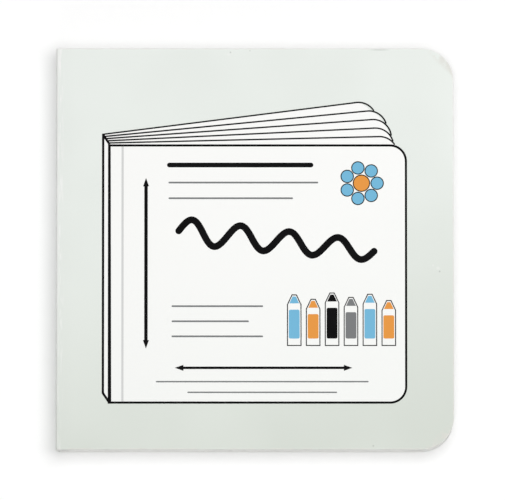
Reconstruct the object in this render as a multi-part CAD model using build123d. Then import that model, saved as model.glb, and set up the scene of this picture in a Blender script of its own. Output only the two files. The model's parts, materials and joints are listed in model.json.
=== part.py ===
from build123d import *
import os

# A chunky board book, about five inches square, lying closed on its back cover.
# Two cover boards hinge on a square spine. Between them lies a block of inner boards,
# made from stiff sheets that are folded once and glued back to back, so that each
# opening of the book ends in a fold at the gutter. A paper label lies on the front cover.
# X runs from the spine to the fore edge, Y from tail to head, Z up. Sizes are in millimetres.

# Whole book
book_width = 126.2
book_height = 127.8
fore_corner_radius = 10.2

# Boards
cover_thickness = 2.0
leaf_thickness = 2.0
leaf_count = 4
leaf_gap = 0.2
edge_ease = 0.3
leaf_bevel = 0.2

# Spine and hinges
spine_thickness = 0.8
joint_roll = 1.3
hinge_clearance = 0.4
fold_bulge = 0.6
fold_wall = 1.0

# Label on the front cover: a plain book figure with a panel, a back band and fanned leaves
label_thickness = 0.12
panel_left = -46.2
panel_bottom = -49.4
panel_width = 94.5
panel_height = 82.6
panel_corner_radius = 5.4
band_width = 2.4
band_skew = 3.4
fan_rise = 2.85
fan_setbacks = (3.0, 4.6, 5.6, 7.3, 10.9)
fan_corner_radius = 6.0

# Places that follow from the sizes above
spine_face = -book_width / 2
fore_edge = book_width / 2
block_bottom = cover_thickness + leaf_gap
block_height = leaf_count * leaf_thickness + (leaf_count - 1) * leaf_gap
block_top = block_bottom + block_height
front_bottom = block_top + leaf_gap
front_top = front_bottom + cover_thickness
leaf_pitch = leaf_thickness + leaf_gap

# How closely an edge has to lie in a plane to be picked
pick_tolerance = 1e-6


def trimmed(section):
    """A section in XZ, drawn out from tail to head and trimmed with round fore corners."""
    block = extrude(Plane.XZ * section, book_height / 2, both=True)
    outline = fillet(Rectangle(book_width, book_height).vertices().group_by(Axis.X)[-1], fore_corner_radius)
    return block & extrude(outline, front_top)


def on_trimmed_ends(edge):
    """True for an edge that lies in the plane of the head or the tail."""
    box = edge.bounding_box()
    end_offset = abs(abs(box.center().Y) - book_height / 2)
    return box.size.Y < pick_tolerance and end_offset < pick_tolerance


def cover_board():
    """A cover board with its inner face at z = 0, rolled where it turns into the spine."""
    joint_edge = spine_face + hinge_clearance
    with BuildSketch() as section:
        with BuildLine():
            Line((joint_edge, 0), (fore_edge, 0))
            Line((fore_edge, 0), (fore_edge, cover_thickness))
            Line((fore_edge, cover_thickness), (joint_edge + joint_roll, cover_thickness))
            RadiusArc(
                (joint_edge + joint_roll, cover_thickness),
                (joint_edge, cover_thickness - joint_roll),
                -joint_roll,
            )
            Line((joint_edge, cover_thickness - joint_roll), (joint_edge, 0))
        make_face()
    board = trimmed(section.sketch)
    inner_rim = board.faces().sort_by(Axis.Z)[0].edges()
    outer_rim = board.faces().sort_by(Axis.Z)[-1].edges().sort_by(Axis.X)[1:]
    joint_ends = board.edges().filter_by(on_trimmed_ends).filter_by(
        lambda edge: edge.bounding_box().max.X < joint_edge + joint_roll + pick_tolerance
    )
    return fillet(inner_rim + outer_rim + joint_ends, edge_ease)


def front_cover():
    """The front cover, outer face up."""
    return Pos(0, 0, front_bottom) * cover_board()


def back_cover():
    """The back cover, outer face down on the surface that the book lies on."""
    return Pos(0, 0, cover_thickness) * mirror(cover_board(), Plane.XY)


def spine_strip():
    """The flat back of the book, glued to the folds of the inner boards."""
    strip = Pos(spine_face + spine_thickness / 2, 0, block_bottom + block_height / 2) * Box(
        spine_thickness, book_height, block_height
    )
    outer_face = strip.faces().sort_by(Axis.X)[0]
    return fillet(outer_face.edges(), edge_ease)


def page_block():
    """The inner boards as one solid: a comb of leaves that meet in rounded folds at the gutter."""
    fold_root = spine_face + spine_thickness + fold_bulge
    slot_end = spine_face + spine_thickness + fold_wall
    middle = block_bottom + block_height / 2
    section = Pos((fold_root + fore_edge) / 2, middle) * Rectangle(fore_edge - fold_root, block_height)
    for opening in range(leaf_count + 1):
        level = block_bottom + opening * leaf_pitch - leaf_gap / 2
        fold = make_face(
            [
                ThreePointArc(
                    (fold_root, level - leaf_pitch / 2),
                    (fold_root - fold_bulge, level),
                    (fold_root, level + leaf_pitch / 2),
                ),
                Line((fold_root, level + leaf_pitch / 2), (fold_root, level - leaf_pitch / 2)),
            ]
        )
        section += fold & Pos(0, middle) * Rectangle(2 * book_width, block_height)
    for opening in range(1, leaf_count):
        level = block_bottom + opening * leaf_pitch - leaf_gap / 2
        slot_start = slot_end + leaf_gap / 2
        slot = Pos((slot_start + fore_edge) / 2, level) * Rectangle(fore_edge - slot_start, leaf_gap)
        section -= slot + Pos(slot_start, level) * Circle(leaf_gap / 2)
    block = trimmed(section)
    rims = ShapeList()
    for face in block.faces().filter_by(Axis.Z):
        rims += face.edges().sort_by(Axis.X)[1:]
    slot_ends = block.edges().filter_by(on_trimmed_ends).filter_by(
        lambda edge: edge.geom_type == GeomType.CIRCLE and edge.radius < leaf_gap
    )
    return chamfer(rims + slot_ends, leaf_bevel)


def front_label():
    """The label: the outline of a closed book with its leaves fanned a little, lying on the front cover."""
    panel_top = panel_bottom + panel_height
    panel_right = panel_left + panel_width
    panel = Pos(panel_left + panel_width / 2, panel_bottom + panel_height / 2) * Rectangle(
        panel_width, panel_height
    )
    panel = fillet(panel.vertices().group_by(Axis.X)[-1], panel_corner_radius)
    band = make_face(
        Polyline(
            (panel_left, panel_bottom),
            (panel_left, panel_top),
            (panel_left - band_width, panel_top + band_skew),
            (panel_left - band_width, panel_bottom + band_skew),
            close=True,
        )
    )
    figure = panel + band
    for leaf, setback in enumerate(fan_setbacks, start=1):
        share = leaf / len(fan_setbacks)
        corner = Vector(panel_right - setback, panel_top + leaf * fan_rise)
        outline = make_face(
            Polyline(
                (panel_left, panel_bottom + panel_height / 2),
                (panel_left - share * band_width, panel_top + share * band_skew),
                (corner.X, corner.Y),
                (corner.X, panel_bottom + panel_height / 2),
                close=True,
            )
        )
        figure += fillet(outline.vertices().sort_by_distance(corner)[0], fan_corner_radius)
    return Pos(0, 0, front_top) * extrude(figure, label_thickness)


pieces = {
    "front_cover": front_cover(),
    "back_cover": back_cover(),
    "spine_strip": spine_strip(),
    "page_block": page_block(),
    "front_label": front_label(),
}

os.makedirs("parts", exist_ok=True)
for name, piece in pieces.items():
    export_step(piece, f"parts/{name}.step")
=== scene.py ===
import json
import math
import random

import bmesh
import bpy
from bpy.props import FloatProperty, FloatVectorProperty, IntProperty, PointerProperty
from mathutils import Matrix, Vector


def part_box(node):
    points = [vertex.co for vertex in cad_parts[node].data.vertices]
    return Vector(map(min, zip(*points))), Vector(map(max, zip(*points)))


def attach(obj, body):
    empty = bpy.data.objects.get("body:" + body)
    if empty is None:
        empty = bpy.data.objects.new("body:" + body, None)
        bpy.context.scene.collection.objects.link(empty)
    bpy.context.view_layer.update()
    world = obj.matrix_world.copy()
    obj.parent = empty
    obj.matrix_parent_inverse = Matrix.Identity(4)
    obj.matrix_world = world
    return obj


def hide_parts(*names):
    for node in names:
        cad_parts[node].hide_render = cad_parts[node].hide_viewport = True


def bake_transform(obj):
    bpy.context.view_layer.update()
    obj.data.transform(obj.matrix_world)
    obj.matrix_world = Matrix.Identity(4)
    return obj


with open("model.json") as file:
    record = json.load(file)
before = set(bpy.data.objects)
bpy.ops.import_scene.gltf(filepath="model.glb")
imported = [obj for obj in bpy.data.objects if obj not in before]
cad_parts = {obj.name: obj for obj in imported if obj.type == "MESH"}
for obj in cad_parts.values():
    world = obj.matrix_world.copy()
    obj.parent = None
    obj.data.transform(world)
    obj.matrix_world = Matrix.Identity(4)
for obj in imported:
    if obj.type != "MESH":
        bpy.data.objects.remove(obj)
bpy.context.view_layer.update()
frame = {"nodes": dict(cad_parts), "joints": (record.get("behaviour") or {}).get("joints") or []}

bl_info = {
    "name": "Board Book",
    "version": (1, 0, 0),
    "blender": (4, 5, 0),
    "location": "3D View > Sidebar > Board Book",
    "description": "Dresses a board book: cover wrap, end spreads, inner boards, label and stage",
    "category": "Add Mesh",
}

MM = 0.001

# Places that come from the frame, in metres
front_low, front_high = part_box("front_cover")
block_low, block_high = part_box("page_block")
spine_low, spine_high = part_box("spine_strip")
label_low, label_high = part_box("front_label")
hinge_places = {joint["name"]: Vector(joint["pos_m"]) for joint in frame["joints"]}
front_axis = hinge_places["front_cover_hinge"]
spine_face = spine_low.x
fore_edge = front_high.x
half_height = front_high.y
middle_level = (spine_low.z + spine_high.z) / 2


# Settings


def length(name, description, millimetres):
    """A length property with its default given in millimetres."""
    return FloatProperty(
        name=name, description=description, default=millimetres * MM, unit="LENGTH", precision=5
    )


def number(name, description, value, **options):
    """A property for a share, a scale, an angle or a strength of light."""
    return FloatProperty(name=name, description=description, default=value, min=0.0, **options)


def screen_to_linear(value):
    """One channel of a screen colour as linear light."""
    if value <= 0.04045:
        return value / 12.92
    return ((value + 0.055) / 1.055) ** 2.4


def colour(name, description, red, green, blue):
    """A colour property with its default given as the 0 to 255 values of a screen colour."""
    linear = [screen_to_linear(value / 255) for value in (red, green, blue)]
    return FloatVectorProperty(
        name=name, description=description, default=linear, subtype="COLOR", min=0.0, max=1.0
    )


class PaperSizes(bpy.types.PropertyGroup):
    """Sizes of the boards and of the papers that are glued to them"""

    corner_radius: length("Fore corner radius", "Round corners of every board at the fore edge", 10.2)
    edge_ease: length("Cover edge ease", "Rounding of the trimmed edges of a cover board", 0.3)
    wrap_ease: length("Wrap edge ease", "Rounding of the crisper trimmed edge of the wrap", 0.12)
    leaf_bevel: length("Leaf bevel", "Bevel of the trimmed edges of an inner board", 0.2)
    joint_roll: length("Joint roll", "Radius at which a cover board rolls into the spine", 1.3)
    wrap_roll: length("Wrap roll", "Radius at which the wrap turns over the rolled board", 0.4)
    wrap_step: length("Wrap step", "How far the wrap steps in from the spine to a cover", 0.2)
    fold_length: length("Fold length", "Height of the soft fold of the wrap at each hinge", 1.0)
    wrap_proud: length("Wrap thickness", "How far the wrap stands proud of the boards", 0.06)
    spread_proud: length("Spread thickness", "How far an end spread stands proud of the boards", 0.05)
    glue_depth: length("Glue depth", "How far a sheet sinks into the board under it", 0.02)
    leaf_count: IntProperty(
        name="Inner boards", description="Boards between the covers", default=4, min=2
    )
    leaf_gap: length("Leaf gap", "Usual air between two inner boards", 0.2)
    fold_bulge: length("Fold bulge", "How far each folded sheet bows towards the spine", 0.6)
    fold_wall: length("Fold wall", "Board between the end of a slot and the spine", 1.0)
    leaf_waviness: number(
        "Leaf waviness", "Share of the gap by which the boards wander", 0.75, max=0.9
    )


class LabelSizes(bpy.types.PropertyGroup):
    """Sizes of the book figure and of the lines that are printed on the label"""

    panel_height: length("Panel height", "Height of the figure's front panel", 82.6)
    panel_corner: length("Panel corner", "Round corners of the front panel", 5.4)
    band_width: length("Band width", "Width of the figure's back band", 2.4)
    band_skew: length("Band skew", "Rise of the back band's slanted ends", 3.4)
    fan_rise: length("Fan rise", "Rise of each fanned leaf above the one before", 2.85)
    fan_setbacks: FloatVectorProperty(
        name="Fan setbacks",
        description="Setback of each fanned leaf from the panel's right edge",
        default=[setback * MM for setback in (3.0, 4.6, 5.6, 7.3, 10.9)],
        size=5,
        unit="LENGTH",
        precision=5,
    )
    fan_corner: length("Fan corner", "Round corner of each fanned leaf", 6.0)
    heavy_line: length("Heavy line", "Width of the figure's main lines", 0.7)
    fine_line: length("Fine line", "Width of the fanned leaves' lines", 0.48)
    band_line: length("Band line", "Width of the line between band and panel, at its top", 0.84)
    band_line_foot: length("Band line foot", "Width of that line at its bottom", 1.1)
    side_line: length("Side line", "Width of the line round the back band", 0.74)
    motif_line: length("Motif line", "Width of the outlines of the flower and the crayons", 0.32)
    crease_inset: length("Crease inset", "Distance of the pale crease line from the band", 4.15)
    ink_depth: length("Ink depth", "Thickness of the printed ink", 0.015)


class BookColours(bpy.types.PropertyGroup):
    """Colours of the papers, the boards and the inks"""

    wrap: colour("Wrap", "Coated outer paper of the covers", 235, 240, 235)
    # The wrap shade is painted shade: the greener, darker colour the wrap takes towards the tail and the
    # fore corner
    wrap_painted_shade: colour("Wrap shade", "Greener, handled tone of the wrap", 214, 220, 211)
    scuff: colour("Scuff", "Bare paper where the wrap is rubbed", 250, 250, 248)
    worn: colour("Worn", "Rubbed corners of the wrap, no longer green", 227, 225, 218)
    dark_mark: colour("Dark mark", "Small dents and marks on the wrap", 132, 134, 130)
    page: colour("Page", "Blank paper of the end spreads", 243, 244, 240)
    core: colour("Core", "Cut edge of the boards", 243, 243, 240)
    core_shade: colour("Core shade", "Darker fibres in the cut edge", 220, 220, 215)
    label: colour("Label", "White label paper", 253, 253, 251)
    black_ink: colour("Black ink", "Lines and bold shapes", 6, 6, 7)
    grey_ink: colour("Grey ink", "Ruled lines and grey fields", 128, 130, 131)
    pale_ink: colour("Pale ink", "Crease line of the book figure", 218, 219, 218)
    blue_ink: colour("Blue ink", "Light blue fields", 122, 190, 224)
    orange_ink: colour("Orange ink", "Orange fields", 238, 158, 74)


class StageSizes(bpy.types.PropertyGroup):
    """The camera's place and the strength of each light"""

    pixel_scale: number("Pixel scale", "Pixels per millimetre on the front cover", 3.15)
    camera_distance: length("Camera distance", "From the camera to the front cover", 3000.0)
    camera_tilt: number(
        "Camera tilt", "Lean of the view towards the tail", math.radians(5.0), subtype="ANGLE"
    )
    aim_x: length("Aim X", "Middle of the picture on the cover, from spine to fore edge", -0.79)
    aim_y: length("Aim Y", "Middle of the picture on the cover, from tail to head", -0.49)
    fill_light: number("Fill light", "Even light from all round", 0.42)
    key_light: number("Key light", "Light on the cover from the lamp at the upper right", 0.538)
    front_light: number("Front light", "Light on the cover from the low lamp past the tail", 0.035)
    floor_glow: number("Floor glow", "White that is added to the floor beside the book", 0.152)
    glow_reach: length("Glow reach", "Distance from the middle past which the floor is white", 550.0)


class BoardBookSettings(bpy.types.PropertyGroup):
    """All that a user may change"""

    paper: PointerProperty(type=PaperSizes)
    label: PointerProperty(type=LabelSizes)
    colours: PointerProperty(type=BookColours)
    stage: PointerProperty(type=StageSizes)


def settings():
    """The book's settings in the open scene."""
    return bpy.context.scene.board_book


# Shader node helpers


def add_node(tree, kind, **values):
    """A new node, with its inputs and options set by name. Underscores in a name stand for spaces."""
    node = tree.nodes.new(kind)
    for name, value in values.items():
        socket_name = name.replace("_", " ")
        if socket_name in node.inputs:
            node.inputs[socket_name].default_value = value
        else:
            setattr(node, name, value)
    return node


def join(tree, source, target):
    """Links an output socket to an input socket."""
    tree.links.new(source, target)


def math_node(tree, operation, first, second=None):
    """The output of a Math node whose inputs are sockets or numbers."""
    node = add_node(tree, "ShaderNodeMath", operation=operation)
    for place, value in enumerate((first, second)):
        if value is None:
            continue
        if isinstance(value, (int, float)):
            node.inputs[place].default_value = value
        else:
            join(tree, value, node.inputs[place])
    return node.outputs[0]


def plus(tree, first, second):
    """The sum of two sockets or numbers."""
    return math_node(tree, "ADD", first, second)


def minus(tree, first, second):
    """The difference of two sockets or numbers."""
    return math_node(tree, "SUBTRACT", first, second)


def times(tree, first, second):
    """The product of two sockets or numbers."""
    return math_node(tree, "MULTIPLY", first, second)


def larger(tree, first, second):
    """The larger of two sockets or numbers."""
    return math_node(tree, "MAXIMUM", first, second)


def joined(tree, masks):
    """The largest of several masks at each point."""
    mask = masks[0]
    for other in masks[1:]:
        mask = larger(tree, mask, other)
    return mask


def off_from(tree, value, level):
    """How far a value lies from a level, to either side."""
    return math_node(tree, "ABSOLUTE", minus(tree, value, level))


def vector_node(tree, operation, first, second=None):
    """The output of a Vector Math node. Its first input is a socket, and its second a plain vector."""
    node = add_node(tree, "ShaderNodeVectorMath", operation=operation)
    join(tree, first, node.inputs[0])
    if second is not None:
        node.inputs[1].default_value = second
    return node.outputs["Value" if operation == "LENGTH" else "Vector"]


def axes_of(tree, place):
    """The X, Y and Z sockets of a place."""
    node = add_node(tree, "ShaderNodeSeparateXYZ")
    join(tree, place, node.inputs["Vector"])
    return node.outputs


def ramp(tree, value, start, end, low=0.0, high=1.0):
    """A smooth step from low at start to high at end."""
    node = add_node(tree, "ShaderNodeMapRange", interpolation_type="SMOOTHSTEP")
    join(tree, value, node.inputs["Value"])
    node.inputs["From Min"].default_value = start
    node.inputs["From Max"].default_value = end
    node.inputs["To Min"].default_value = low
    node.inputs["To Max"].default_value = high
    return node.outputs["Result"]


def fade(tree, value, start, end, strength=1.0):
    """A smooth step down from a strength at start to nothing at end."""
    return ramp(tree, value, start, end, low=strength, high=0.0)


def mixed_colour(tree, factor, first, second):
    """The output of a colour mix. Each colour is a socket or a plain colour."""
    node = add_node(tree, "ShaderNodeMix", data_type="RGBA")
    join(tree, factor, node.inputs["Factor"])
    first_colour, second_colour = [socket for socket in node.inputs if socket.type == "RGBA"]
    for socket, value in ((first_colour, first), (second_colour, second)):
        if isinstance(value, bpy.types.NodeSocket):
            join(tree, value, socket)
        else:
            socket.default_value = (*value, 1.0)
    return next(socket for socket in node.outputs if socket.type == "RGBA")


def stretched_noise(tree, place, scales, detail, roughness):
    """Noise with a scale of its own along each axis."""
    noise = add_node(tree, "ShaderNodeTexNoise", Scale=1.0, Detail=detail, Roughness=roughness)
    join(tree, vector_node(tree, "MULTIPLY", place, scales), noise.inputs["Vector"])
    return noise.outputs["Fac"]


def new_group(name, inputs, outputs):
    """An empty shader group with named sockets, and its inner input and output nodes."""
    group = bpy.data.node_groups.new(name, "ShaderNodeTree")
    for socket_name, kind in inputs:
        group.interface.new_socket(socket_name, in_out="INPUT", socket_type=kind)
    for socket_name, kind in outputs:
        group.interface.new_socket(socket_name, in_out="OUTPUT", socket_type=kind)
    return group, group.nodes.new("NodeGroupInput"), group.nodes.new("NodeGroupOutput")


def paper_grain_group():
    """Fine tooth and soft clouds of paper, the same in every direction."""
    found = bpy.data.node_groups.get("Paper Grain")
    if found:
        return found
    inputs = [("Place", "NodeSocketVector")]
    inputs += [("Tooth Scale", "NodeSocketFloat"), ("Cloud Scale", "NodeSocketFloat")]
    outputs = [("Tooth", "NodeSocketFloat"), ("Cloud", "NodeSocketFloat")]
    group, entry, result = new_group("Paper Grain", inputs, outputs)
    tooth = add_node(group, "ShaderNodeTexNoise", Detail=4.0, Roughness=0.6)
    cloud = add_node(group, "ShaderNodeTexNoise", Detail=2.0, Roughness=0.5)
    for noise, output in ((tooth, "Tooth"), (cloud, "Cloud")):
        join(group, entry.outputs["Place"], noise.inputs["Vector"])
        join(group, entry.outputs[output + " Scale"], noise.inputs["Scale"])
        join(group, noise.outputs["Fac"], result.inputs[output])
    return group


def wear_and_painted_shade_group():
    """Worn patches along a trimmed rim and a few specks, as handled books show,
    and a painted shade: a tone that deepens to the tail, and a little to the fore edge."""
    found = bpy.data.node_groups.get("Wear And Painted Shade")
    if found:
        return found
    inputs = [("Place", "NodeSocketVector")]
    inputs += [("Rim", "NodeSocketFloat"), ("Rim Width", "NodeSocketFloat")]
    outputs = [("Wear", "NodeSocketFloat"), ("Speck", "NodeSocketFloat"), ("Tone", "NodeSocketFloat")]
    group, entry, result = new_group("Wear And Painted Shade", inputs, outputs)
    place = entry.outputs["Place"]

    # Tone is painted shade: it deepens towards the tail, and a little towards the fore edge
    fore_share = 0.16
    axes = axes_of(group, place)
    lean = minus(group, times(group, axes["X"], fore_share), axes["Y"])
    join(group, ramp(group, lean, start=-40 * MM, end=85 * MM), result.inputs["Tone"])

    patches = add_node(group, "ShaderNodeTexNoise", Scale=240.0, Detail=5.0, Roughness=0.65)
    join(group, place, patches.inputs["Vector"])
    in_patch = ramp(group, patches.outputs["Fac"], start=0.4, end=0.56)
    rim_share = math_node(group, "DIVIDE", entry.outputs["Rim"], entry.outputs["Rim Width"])
    at_rim = fade(group, rim_share, start=0.0, end=1.0)
    join(group, times(group, at_rim, in_patch), result.inputs["Wear"])

    cells = add_node(group, "ShaderNodeTexVoronoi", Scale=75.0)
    join(group, place, cells.inputs["Vector"])
    cell_draw = add_node(group, "ShaderNodeSeparateColor")
    join(group, cells.outputs["Color"], cell_draw.inputs["Color"])
    few_cells = ramp(group, cell_draw.outputs["Red"], start=0.93, end=0.94)
    dot = fade(group, cells.outputs["Distance"], start=0.008, end=0.022)
    join(group, times(group, few_cells, dot), result.inputs["Speck"])
    return group


def place_group(tree, group, place, **values):
    """Puts a shader group into a material, reading from a place socket. Returns its outputs."""
    node = add_node(tree, "ShaderNodeGroup", node_tree=group)
    join(tree, place, node.inputs["Place"])
    for name, value in values.items():
        socket = node.inputs[name.replace("_", " ")]
        if isinstance(value, bpy.types.NodeSocket):
            join(tree, value, socket)
        else:
            socket.default_value = value
    return node.outputs


def new_material(name, roughness):
    """A material with a plain Principled shader. Returns the material, its tree and the shader."""
    material = bpy.data.materials.new(name)
    material.use_nodes = True
    tree = material.node_tree
    shader = tree.nodes["Principled BSDF"]
    shader.inputs["Roughness"].default_value = roughness
    return material, tree, shader


def rest_place(tree):
    """Where a point of a folding sheet lies when the book is closed."""
    return add_node(tree, "ShaderNodeAttribute", attribute_name="rest_place").outputs["Vector"]


def rim_reach(tree):
    """How far a point of a folding sheet lies in from the trimmed edge."""
    return add_node(tree, "ShaderNodeAttribute", attribute_name="rim").outputs["Fac"]


def object_place(tree):
    """Where a point of a stiff piece lies."""
    return add_node(tree, "ShaderNodeTexCoord").outputs["Object"]


def add_bump(tree, shader, height, distance, strength):
    """Feeds a height into the shader's normal."""
    bump = add_node(tree, "ShaderNodeBump", Strength=strength, Distance=distance)
    join(tree, height, bump.inputs["Height"])
    join(tree, bump.outputs["Normal"], shader.inputs["Normal"])


# Materials

# Small marks on the front cover: x, y, half length along X and half width along Y, in millimetres
cover_dents = (
    (58.6, -7.3, 0.45, 0.45),
    (-7.8, 62.6, 0.4, 0.4),
    (-1.6, 63.1, 0.3, 0.3),
    (37.5, -62.8, 0.45, 0.45),
    (39.6, 63.4, 4.6, 0.3),
)
cover_blisters = ((58.1, -6.3, 0.85, 0.85), (56.5, -5.4, 0.5, 0.5), (-8.4, 61.9, 0.7, 0.7))

# Darker patches on the tail edge of the inner boards: x and half length in millimetres
tail_dark_patches = ((51.0, 3.2), (-7.9, 0.8), (-60.6, 1.9))

# How strongly each kind of mark, and the painted shade, shows on the wrap
painted_shade_strength = 0.92
cloud_strength = 0.08
wear_strength = 0.75
rim_strength = 0.7
scuff_strength = 0.8
blister_strength = 0.3
dent_strength = 0.38
speck_strength = 0.12

# Scales along X, Y and Z, per metre: streaks run along the spine, and fibres lie in flat layers
streak_scales = (1500.0, 130.0, 1500.0)
fibre_scales = (260.0, 260.0, 5200.0)


def marks_mask(tree, place, marks):
    """A mask that is 1 at the middle of each mark on the front cover."""
    masks = []
    for mark_x, mark_y, half_length, half_width in marks:
        centre = (mark_x * MM, mark_y * MM, front_high.z)
        halves = (half_length * MM, half_width * MM, half_width * MM)
        share = vector_node(tree, "DIVIDE", vector_node(tree, "SUBTRACT", place, centre), halves)
        masks.append(fade(tree, vector_node(tree, "LENGTH", share), start=0.2, end=1.0))
    return joined(tree, masks)


def rub_width(tree, axes):
    """How far in from its rim the wrap is worn: a little at the edges, more at the fore corners."""
    edge_width = 0.6 * MM
    corner_width = 5.0 * MM
    radius = settings().paper.corner_radius
    near_fore = ramp(tree, axes["X"], fore_edge - radius, fore_edge - radius / 4)
    off_middle = math_node(tree, "ABSOLUTE", axes["Y"])
    near_end = ramp(tree, off_middle, half_height - radius, half_height - radius / 4)
    at_corner = times(tree, near_fore, near_end)
    return plus(tree, edge_width, times(tree, at_corner, corner_width))


def fold_scuffs_and_roll_light(tree, place, axes):
    """A mask of the long scuffs beside the folds, and of the rub where the wrap turns over a board, which
    is partly painted light.
    """
    paper = settings().paper
    streaks = stretched_noise(tree, place, streak_scales, detail=4.0, roughness=0.6)
    beside_fold = fade(tree, axes["X"], front_low.x + 0.8 * MM, front_low.x + 2.5 * MM)
    half_spine = front_axis.z - middle_level
    off_middle = off_from(tree, axes["Z"], middle_level)
    near_fold = ramp(tree, off_middle, 0.6 * half_spine, half_spine, low=0.2)
    scuffs = times(tree, beside_fold, ramp(tree, streaks, start=0.48, end=0.66))
    scuffs = times(tree, scuffs, near_fold)

    # On the roll the rub is partly white wear streaks and partly painted light, a steady lightening that
    # lifts the roll's shade
    joint_x = spine_face + paper.wrap_step
    past_spine = ramp(tree, axes["X"], spine_face + 0.3 * paper.wrap_step, joint_x)
    on_roll = fade(tree, axes["X"], joint_x + 0.4 * paper.wrap_roll, joint_x + 1.2 * paper.wrap_roll)
    rubbed = times(tree, past_spine, on_roll)
    rubbed = times(tree, rubbed, ramp(tree, streaks, start=0.25, end=0.6, low=0.55))
    return larger(tree, times(tree, scuffs, scuff_strength), rubbed)


def wrap_material():
    """Coated wrap of the covers: pale and a little green, with painted shade towards the tail and the
    fore corner, scuffed at the folds and rubbed at the rims and corners, with painted light on the rolled
    edge."""
    colours = settings().colours
    material, tree, shader = new_material("cover_wrap", 0.5)
    place = rest_place(tree)
    axes = axes_of(tree, place)
    rim = rim_reach(tree)
    grain = place_group(tree, paper_grain_group(), place, Tooth_Scale=2600.0, Cloud_Scale=22.0)
    wear_and_shade = place_group(tree, wear_and_painted_shade_group(), place, Rim=rim, Rim_Width=rub_width(tree, axes))

    clouds = ramp(tree, grain["Cloud"], start=0.35, end=0.7, high=cloud_strength)
    # Painted shade: the wrap turns darker and greener towards the tail and the fore corner, with random
    # clouds
    shaded = plus(tree, times(tree, wear_and_shade["Tone"], painted_shade_strength), clouds)
    tone = mixed_colour(tree, shaded, colours.wrap, colours.wrap_painted_shade)
    tone = mixed_colour(tree, times(tree, wear_and_shade["Wear"], wear_strength), tone, colours.worn)

    # White rubs, and the scuffs with the painted light on the roll, show less where the painted shade is
    # deep
    away_from_painted_shade = ramp(tree, wear_and_shade["Tone"], start=0.0, end=0.9, low=1.0, high=0.35)
    rim_rub = times(tree, fade(tree, rim, 0.1 * MM, 0.4 * MM, rim_strength), away_from_painted_shade)
    tone = mixed_colour(tree, rim_rub, tone, colours.scuff)
    # The fold scuffs include the painted light on the rolled edge at the spine
    scuffs = times(tree, fold_scuffs_and_roll_light(tree, place, axes), away_from_painted_shade)
    tone = mixed_colour(tree, scuffs, tone, colours.scuff)

    blisters = marks_mask(tree, place, cover_blisters)
    tone = mixed_colour(tree, times(tree, blisters, blister_strength), tone, colours.scuff)
    dents = marks_mask(tree, place, cover_dents)
    specks = times(tree, wear_and_shade["Speck"], speck_strength)
    dark_marks = larger(tree, times(tree, dents, dent_strength), specks)
    tone = mixed_colour(tree, dark_marks, tone, colours.dark_mark)
    join(tree, tone, shader.inputs["Base Color"])

    gloss = ramp(tree, grain["Cloud"], start=0.3, end=0.7, low=0.46, high=0.58)
    dulled = times(tree, larger(tree, scuffs, wear_and_shade["Wear"]), 0.2)
    join(tree, plus(tree, gloss, dulled), shader.inputs["Roughness"])
    relief = plus(tree, grain["Tooth"], minus(tree, blisters, dents))
    add_bump(tree, shader, relief, distance=0.02 * MM, strength=0.35)
    return material


def page_material():
    """Uncoated white page paper with a fine tooth."""
    colours = settings().colours
    material, tree, shader = new_material("page_paper", 0.7)
    place = rest_place(tree)
    grain = place_group(tree, paper_grain_group(), place, Tooth_Scale=3200.0, Cloud_Scale=30.0)
    wear_and_shade = place_group(tree, wear_and_painted_shade_group(), place, Rim=rim_reach(tree), Rim_Width=1.2 * MM)
    clouds = ramp(tree, grain["Cloud"], start=0.35, end=0.75, high=0.25)
    tone = mixed_colour(tree, clouds, colours.page, colours.wrap)
    tone = mixed_colour(tree, times(tree, wear_and_shade["Wear"], 0.5), tone, colours.core)
    join(tree, tone, shader.inputs["Base Color"])
    gloss = ramp(tree, grain["Tooth"], start=0.3, end=0.7, low=0.64, high=0.78)
    join(tree, gloss, shader.inputs["Roughness"])
    add_bump(tree, shader, grain["Tooth"], distance=0.02 * MM, strength=0.45)
    return material


def tail_dark_patch_mask(tree, axes):
    """A mask that is 1 in each darker patch on the tail edge of the inner boards."""
    masks = []
    for patch_x, half_length in tail_dark_patches:
        apart = off_from(tree, axes["X"], patch_x * MM)
        masks.append(fade(tree, apart, 0.2 * half_length * MM, 1.4 * half_length * MM))
    at_tail = fade(tree, axes["Y"], 0.5 * MM - half_height, 1.5 * MM - half_height)
    on_inner = fade(tree, off_from(tree, axes["Z"], middle_level), 0.6 * MM, 3.8 * MM)
    return times(tree, joined(tree, masks), times(tree, at_tail, on_inner))


def glue_lines(tree, axes):
    """A mask of the glue half way up each inner board, where two folded sheets meet."""
    level = minus(tree, axes["Z"], block_low.z)
    step = math_node(tree, "MODULO", level, leaf_pitch())
    off_line = off_from(tree, step, leaf_thickness() / 2)
    return fade(tree, off_line, 0.03 * MM, 0.13 * MM, strength=0.85)


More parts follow.
